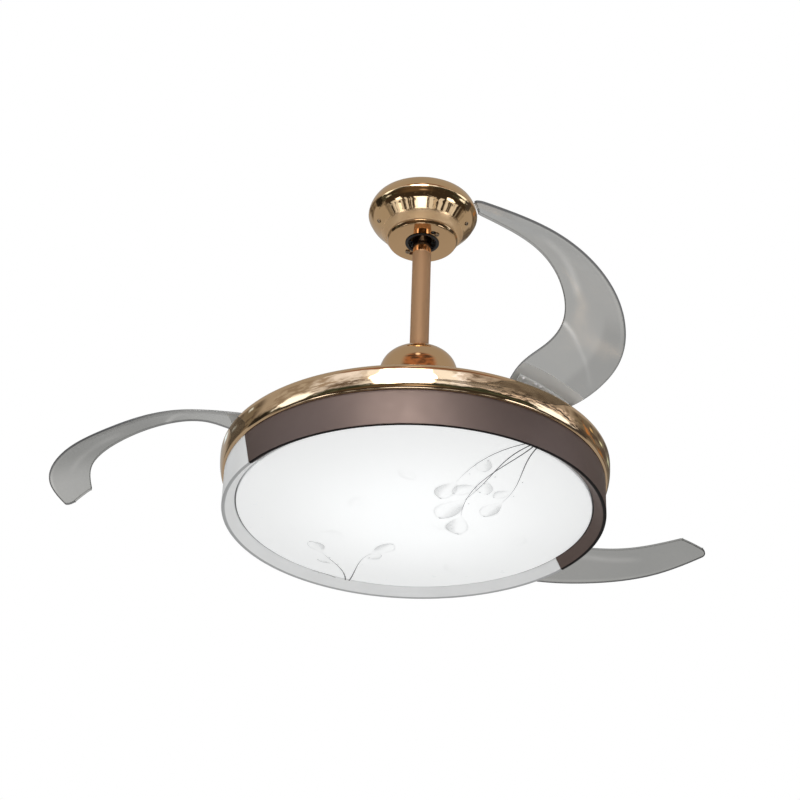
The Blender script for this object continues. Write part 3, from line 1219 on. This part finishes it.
# ================================================================ floor
bm = bmesh.new()
bmesh.ops.create_grid(bm, x_segments=8, y_segments=8, size=7)
floor = new_object("studio_floor", bm)
floor.location.z = -2.4
fm = Mat("pale_floor", (0.82, 0.82, 0.815), 0.6)
fm.set("Base Color", fm.tone(0.01, 2))
geo = fm.node("ShaderNodeNewGeometry")
clear = fm.node("ShaderNodeBsdfTransparent")
pick = fm.node("ShaderNodeMixShader")
fm.link(geo.outputs["Backfacing"], pick.inputs[0])
fm.link(fm.b.outputs[0], pick.inputs[1])
fm.link(clear.outputs[0], pick.inputs[2])
fm.link(pick.outputs[0], fm.nt.nodes["Material Output"].inputs["Surface"])
floor.data.materials.append(fm.m)
floor.visible_glossy = False

# ================================================================ studio surroundings
world = bpy.data.worlds.new("studio")
bpy.context.scene.world = world
world.use_nodes = True
wt = world.node_tree
for n in list(wt.nodes):
    wt.nodes.remove(n)


def W(kind, **props):
    n = wt.nodes.new(kind)
    for k, v in props.items():
        setattr(n, k, v)
    return n


def wm(op, a, b=0.0, c=None):
    n = W("ShaderNodeMath", operation=op)
    for i, v in enumerate((a, b) if c is None else (a, b, c)):
        if isinstance(v, bpy.types.NodeSocket):
            wt.links.new(v, n.inputs[i])
        else:
            n.inputs[i].default_value = v
    return n.outputs[0]


def wstep(v, lo, hi):
    n = W("ShaderNodeMapRange", interpolation_type='SMOOTHSTEP')
    n.inputs["From Min"].default_value = lo
    n.inputs["From Max"].default_value = hi
    wt.links.new(v, n.inputs["Value"])
    return n.outputs["Result"]


def wmix(fac, a, b):
    n = W("ShaderNodeMix", data_type='RGBA')
    for key, v in ((0, fac), (6, a), (7, b)):
        if isinstance(v, bpy.types.NodeSocket):
            wt.links.new(v, n.inputs[key])
        elif key == 0:
            n.inputs[0].default_value = v
        else:
            n.inputs[key].default_value = (*v, 1)
    return n.outputs[2]


sep = W("ShaderNodeSeparateXYZ")
wt.links.new(W("ShaderNodeTexCoord").outputs["Generated"], sep.inputs[0])
dx, dy, dz = sep.outputs
DEG = 180 / pi
el = wm('MULTIPLY', wm('ARCSINE', dz), DEG)
az = wm('MULTIPLY', wm('ARCTAN2', dx, wm('MULTIPLY', dy, -1.0)), DEG)


def band(v, lo, hi, soft):
    return wm('MULTIPLY', wstep(v, lo - soft, lo + soft), wm('SUBTRACT', 1.0, wstep(v, hi - soft, hi + soft)))


def panel(a, e, a0, a1, e0, e1, sa, se):
    return wm('MULTIPLY', band(a, a0, a1, sa), band(e, e0, e1, se))


def oval(a, e, ac, ec, ra, re, soft=0.18):
    u = wm('DIVIDE', wm('SUBTRACT', a, ac), ra)
    v = wm('DIVIDE', wm('SUBTRACT', e, ec), re)
    d = wm('SQRT', wm('ADD', wm('MULTIPLY', u, u), wm('MULTIPLY', v, v)))
    return wm('SUBTRACT', 1.0, wstep(d, 1 - soft, 1 + soft))


def streaks(across, along, seed, detail=3.0):
    c = W("ShaderNodeCombineXYZ")
    wt.links.new(wm('DIVIDE', az, across), c.inputs[0])
    wt.links.new(wm('DIVIDE', el, along), c.inputs[1])
    c.inputs[2].default_value = seed
    n = W("ShaderNodeTexNoise")
    n.inputs["Scale"].default_value = 1.0
    n.inputs["Detail"].default_value = detail
    wt.links.new(c.outputs[0], n.inputs["Vector"])
    return n.outputs["Fac"]


# what shiny metal sees: an even grey above, below and behind, and in front a dim room with a window and small lamps
def seen(r, g, b, gain=1.0):
    """The light that shows as this colour in the gold."""
    return tuple(gain * c / k for c, k in zip(srgb(r, g, b), GOLD))


EVEN = (0.43, 0.43, 0.42)
DIM = (0.045, 0.038, 0.030)
grain = streaks(9, 16, 1.7, 4)
smear = streaks(7, 3.2, 8.3, 5)
tall = streaks(5.6, 26, 5.1, 4)
crumbs = streaks(3.4, 2.0, 4.4, 5)
wa = wm('ADD', az, wm('MULTIPLY', wm('SUBTRACT', streaks(6, 5, 3.3, 5), 0.5), 26))      # wavy edges
we = wm('ADD', el, wm('MULTIPLY', wm('SUBTRACT', streaks(7, 4, 6.6, 5), 0.5), 11))


def over(base, mask, tint, amount=1.0):
    return wmix(wm('MULTIPLY', mask, amount) if amount != 1.0 else mask, base, tint)


def both(a, b):
    return wm('MULTIPLY', a, b)


def ragged(lo, hi, width, crumbs):
    """Between two bearings, with crumbling sides."""
    shift = wm('MULTIPLY', wm('SUBTRACT', crumbs, 0.5), 2.6)
    left = wstep(wm('ADD', wm('DIVIDE', wm('SUBTRACT', az, lo), width), shift), 0.0, 0.35)
    right = wstep(wm('ADD', wm('DIVIDE', wm('SUBTRACT', hi, az), width), shift), 0.0, 0.35)
    return wm('MULTIPLY', left, right)


def below(v, limit, soft):
    return wm('SUBTRACT', 1.0, wstep(v, limit - soft, limit + soft))


front = band(wa, -90, 104, 6)
cone = wm('SUBTRACT', el, wm('MULTIPLY', wm('MULTIPLY', az, az), 9 / 3600))      # the canopy's flare sees -46 of this all round
colour = EVEN
# duller to both sides
sides = both(band(el, 2, 31, 2.5), wm('MAXIMUM', band(az, -137, -100, 5), band(az, 102, 168, 5)))
colour = over(colour, sides, wmix(wstep(smear, 0.44, 0.60), seen(114, 94, 68), seen(84, 66, 48)))
# dark room from the horizon down, with a few paler things in it
room = wmix(wstep(grain, 0.56, 0.78), DIM, (0.16, 0.14, 0.11))
room = over(room, band(el, -8, 13, 4), wmix(wstep(smear, 0.46, 0.62), (0.030, 0.044, 0.032), (0.12, 0.15, 0.12)), 0.85)
colour = over(colour, both(both(front, below(we, 13, 2)), wstep(cone, -84, -76)), room)
# wall beside the window: tan with brown smears, darker towards the right and low down
wall = wmix(wstep(smear, 0.45, 0.58), seen(212, 189, 163), seen(158, 131, 102))
wall = over(wall, below(wa, -63, 4), wmix(wstep(smear, 0.42, 0.58), seen(170, 146, 116), seen(140, 115, 88)))
wall = over(wall, wstep(wa, 20, 30), wmix(wstep(smear, 0.38, 0.58), seen(190, 165, 138), seen(112, 89, 66)))
wall = over(wall, wstep(wa, 40, 50), wmix(wstep(smear, 0.40, 0.60), seen(160, 136, 108), seen(125, 101, 78)))
wall = over(wall, both(wstep(wa, 32, 40), below(we, 25.0, 1.5)), wmix(wstep(crumbs, 0.42, 0.58), seen(190, 160, 130, 1.5), seen(48, 38, 30)))
wall = over(wall, oval(wa, we, 37, 13, 10, 4, 0.6), seen(206, 178, 150))
colour = over(colour, both(band(wa, -88, 98, 5), band(we, 6.5, 33, 1.6)), wall)
colour = over(colour, oval(wa, we, -38, 30, 13, 4.0, 0.6), seen(234, 211, 186))
# copper glow over the window, seen low on the dome
glow = oval(az, el, 2, 36, 50, 13.5, 0.22)
colour = over(colour, both(glow, wstep(el, 33, 37)), wmix(wstep(streaks(34, 2.2, 3.3, 4), 0.38, 0.62), (0.085, 0.043, 0.025), (0.46, 0.21, 0.10)), 0.92)
colour = over(colour, oval(az, el, -3, 46.5, 7, 2.2, 0.6), (1.6, 1.45, 1.3))
# the window, and its paler right-hand side
colour = over(colour, both(ragged(4, 30, 12, crumbs), band(we, 5, 32, 1.8)), wmix(wstep(crumbs, 0.42, 0.62), seen(244, 222, 200, 1.25), seen(184, 158, 132, 1.25)))
colour = over(colour, both(ragged(-44, 24, 14, crumbs), band(we, 5, 33, 2.0)), wmix(wstep(grain, 0.42, 0.60), seen(240, 218, 194, 1.2), seen(150, 122, 96)), 0.30)
colour = over(colour, both(ragged(-34, 22, 7, crumbs), band(we, 5.5, 32, 2.0)), wmix(wstep(grain, 0.42, 0.56), (1.25, 1.42, 1.65), seen(196, 168, 138)), 0.9)
colour = over(colour, both(oval(wa, we, -39, 14, 12, 6.5, 0.6), wstep(crumbs, 0.34, 0.46)), seen(98, 76, 56))
colour = over(colour, both(both(ragged(-27, 10, 9, grain), band(we, 2.5, 31, 2.2)), wmix(wstep(crumbs, 0.30, 0.40), (0.25, 0.25, 0.25), (1.0, 1.0, 1.0))), (7.4, 7.4, 7.2))
# lamps and small bright things
colour = over(colour, oval(wa, we, -71, 6, 12, 9, 0.3), (1.9, 2.2, 2.6))
colour = over(colour, oval(wa, we, 81, 5, 13, 9, 0.3), (1.9, 2.2, 2.6))
colour = over(colour, oval(wa, we, -60, -34, 9, 5.5, 0.3), (3.2, 3.4, 3.8))
colour = over(colour, oval(wa, we, 64, -29, 10, 6.0, 0.3), (3.4, 3.6, 4.0))
colour = over(colour, oval(az, el, -14, -12, 28, 9, 0.6), (0.13, 0.098, 0.064))
colour = over(colour, oval(az, el, 0, -10, 8, 4, 0.6), (0.85, 0.72, 0.58))
colour = over(colour, oval(wa, we, -97, 0, 9, 15, 0.3), seen(38, 31, 20))
colour = over(colour, oval(wa, we, 103, 0, 7, 15, 0.4), seen(64, 53, 42))
colour = over(colour, oval(wa, we, 113, 21, 4, 4, 0.6), seen(176, 108, 52))
colour = over(colour, oval(wa, we, 128, 14, 5, 4, 0.6), seen(150, 96, 50))
for a0, a1, e0, e1, tint in ((-115, -110, 28.4, 29.6, (214, 202, 174)), (-133, -127, 25.6, 27.2, (222, 212, 184)), (-152, -145, 27.4, 29.2, (226, 218, 190)),
                             (120, 124, 26.0, 27.6, (206, 160, 96)), (133, 138, 25.4, 26.8, (214, 196, 136)), (149, 153, 24.5, 26.5, (216, 200, 140))):
    colour = over(colour, panel(az, el, a0, a1, e0, e1, 1.2, 0.5), seen(*tint))
# low zone in front: tall streaks, and a bright doorway in the middle
lowband = both(band(wa, -84, 90, 7), band(cone, -58, -43.6, 1.6))
colour = over(colour, both(lowband, wstep(tall, 0.46, 0.56)), (0.92, 1.02, 1.15), 0.94)
colour = over(colour, both(lowband, below(tall, 0.42, 0.04)), (0.045, 0.040, 0.028), 0.94)
colour = over(colour, both(panel(wa, cone, -22, 10, -58, -44.6, 4, 1.2), wstep(grain, 0.28, 0.40)), (2.9, 3.2, 3.7))

bg_gloss = W("ShaderNodeBackground")
wt.links.new(colour, bg_gloss.inputs["Color"])
bg_soft = W("ShaderNodeBackground")
bg_soft.inputs["Color"].default_value = (1, 1, 1, 1)
bg_soft.inputs["Strength"].default_value = 0.80
bg_white = W("ShaderNodeBackground")
bg_white.inputs["Color"].default_value = (1, 1, 1, 1)
bg_white.inputs["Strength"].default_value = 1.0
path = W("ShaderNodeLightPath")
mix1 = W("ShaderNodeMixShader")
mirrored = wm('MINIMUM', path.outputs["Glossy Depth"], 1.0)
through = wm('MULTIPLY', path.outputs["Is Transmission Ray"], mirrored)      # seen in polished metal, through a blade
wt.links.new(wm('MAXIMUM', path.outputs["Is Glossy Ray"], through), mix1.inputs[0])
wt.links.new(bg_soft.outputs[0], mix1.inputs[1])
wt.links.new(bg_gloss.outputs[0], mix1.inputs[2])
mix2 = W("ShaderNodeMixShader")
direct = wm('MAXIMUM', path.outputs["Is Camera Ray"], wm('SUBTRACT', path.outputs["Is Transmission Ray"], wm('MULTIPLY', through, 0.82)))
wt.links.new(direct, mix2.inputs[0])
wt.links.new(mix1.outputs[0], mix2.inputs[1])
wt.links.new(bg_white.outputs[0], mix2.inputs[2])
out = W("ShaderNodeOutputWorld")
wt.links.new(mix2.outputs[0], out.inputs["Surface"])


def area(name, at, to, size, power, colour=(1, 1, 1), glossy=True):
    light = bpy.data.lights.new(name, 'AREA')
    light.shape = 'SQUARE'
    light.size = size
    light.energy = power
    light.color = colour
    o = bpy.data.objects.new(name, light)
    bpy.context.scene.collection.objects.link(o)
    o.location = at
    o.rotation_mode = 'QUATERNION'
    o.rotation_quaternion = (Vector(to) - Vector(at)).to_track_quat('-Z', 'Y')
    o.visible_glossy = glossy
    return o


area("key", (-0.8, -2.6, 0.9), (0, 0, -0.4), 1.6, 18, glossy=False)
area("fill_low", (1.3, -1.2, -2.0), (0, 0, -0.5), 1.8, 10, glossy=False)

# ================================================================ camera
camera = bpy.data.objects.new("camera", bpy.data.cameras.new("camera"))
bpy.context.scene.collection.objects.link(camera)
bpy.context.scene.camera = camera
forward = Vector((0.022645, 0.861196, 0.507768))
right = Vector((0.999312, -0.034423, 0.013816))
up = Vector((-0.029378, -0.507106, 0.861383))
turn = Matrix((right, up, -forward)).transposed().to_4x4()
camera.matrix_world = Matrix.Translation((0, -2.18, -1.6083)) @ turn
camera.data.sensor_width = 36
camera.data.lens = 84.29
camera.data.shift_x = -0.075
camera.data.clip_start, camera.data.clip_end = 0.05, 60
bpy.context.scene.view_settings.view_transform = 'Standard'

# ================================================================ sizes, then done
bpy.context.view_layer.update()
